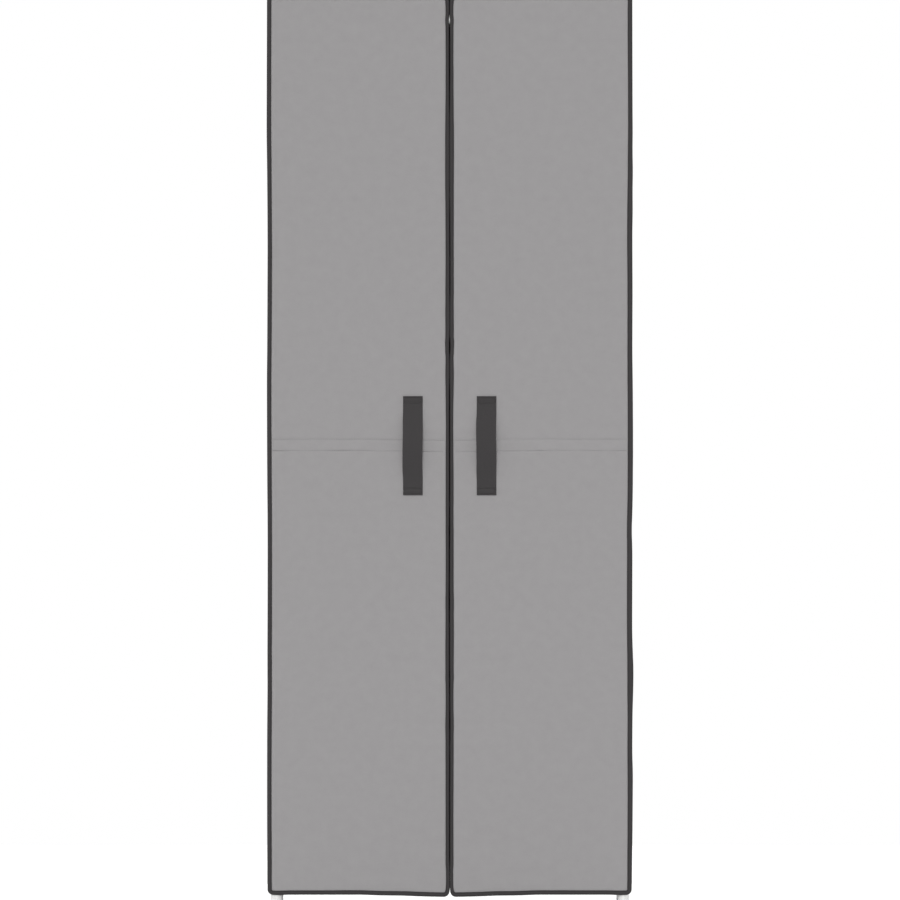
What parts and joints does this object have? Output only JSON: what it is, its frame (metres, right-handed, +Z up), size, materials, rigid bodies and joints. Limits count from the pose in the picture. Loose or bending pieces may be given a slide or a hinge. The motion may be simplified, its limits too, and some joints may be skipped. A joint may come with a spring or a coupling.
{
  "type": "fabric shoe cabinet",
  "caption": "Tall free-standing shoe cabinet: a white tube frame with fabric shelves, closed by a grey sewn cover with soft hinged doors, dark bound edges and strap handles.",
  "frame": {"origin": "on the floor, under the centre of the outer box, whose front is the faces of the handle straps", "axes": "+Z up, -Y out of the front that the doors close, +X to the right as seen from the front"},
  "size_m": [0.6, 0.336, 1.52],
  "materials": {
    "grey_fabric": "matt nonwoven polyester, plain mid grey",
    "dark_binding": "dark grey woven tape and webbing",
    "white_powder_coat": "satin white powder coat on steel tube",
    "white_plastic": "moulded white plastic",
    "fibreboard": "raw brown fibreboard",
    "magnet_nickel": "nickel-plated magnet"
  },
  "bodies": {
    "root": {"side_frame_left_lower": "white_powder_coat", "side_frame_left_upper": "white_powder_coat", "side_frame_right_lower": "white_powder_coat", "side_frame_right_upper": "white_powder_coat", "rail_bottom_front": "white_powder_coat", "rail_bottom_rear": "white_powder_coat", "rail_top_front": "white_powder_coat", "rail_top_rear": "white_powder_coat", "foot_cap_front_left": "white_plastic", "foot_cap_front_right": "white_plastic", "foot_cap_rear_left": "white_plastic", "foot_cap_rear_right": "white_plastic", "upright_joiner_front_left": "white_plastic", "upright_joiner_front_right": "white_plastic", "upright_joiner_rear_left": "white_plastic", "upright_joiner_rear_right": "white_plastic", "upright_cap_front_left": "white_plastic", "upright_cap_front_right": "white_plastic", "upright_cap_rear_left": "white_plastic", "upright_cap_rear_right": "white_plastic", "shelf_1": "grey_fabric", "shelf_2": "grey_fabric", "shelf_3": "grey_fabric", "shelf_4": "grey_fabric", "shelf_5": "grey_fabric", "shelf_6": "grey_fabric", "shelf_7": "grey_fabric", "shelf_board_1": "fibreboard", "shelf_board_2": "fibreboard", "shelf_board_3": "fibreboard", "shelf_board_4": "fibreboard", "shelf_board_5": "fibreboard", "shelf_board_6": "fibreboard", "shelf_board_7": "fibreboard", "cover_left_side": "grey_fabric", "cover_right_side": "grey_fabric", "cover_back": "grey_fabric", "cover_top": "grey_fabric", "top_board": "fibreboard", "top_piping": "dark_binding", "rear_piping_left": "dark_binding", "rear_piping_right": "dark_binding", "hem_binding": "dark_binding", "hinge_tape_left": "dark_binding", "hinge_tape_right": "dark_binding"},
    "left_door": {"left_door_fabric": "grey_fabric", "left_door_binding": "dark_binding", "left_door_handle": "dark_binding", "left_door_board_lower": "fibreboard", "left_door_board_upper": "fibreboard", "left_door_magnet_lower": "magnet_nickel", "left_door_magnet_upper": "magnet_nickel"},
    "right_door": {"right_door_fabric": "grey_fabric", "right_door_binding": "dark_binding", "right_door_handle": "dark_binding", "right_door_board_lower": "fibreboard", "right_door_board_upper": "fibreboard", "right_door_magnet_lower": "magnet_nickel", "right_door_magnet_upper": "magnet_nickel"}
  },
  "joints": [
    {"name": "left_door_hinge", "type": "hinge", "parent": "root", "child": "left_door", "pos_m": [-0.3, -0.14838, 0.78], "axis": [0, 0, -1], "range_deg": [0, 175]},
    {"name": "right_door_hinge", "type": "hinge", "parent": "root", "child": "right_door", "pos_m": [0.3, -0.14838, 0.78], "axis": [0, 0, 1], "range_deg": [0, 175]}
  ]
}
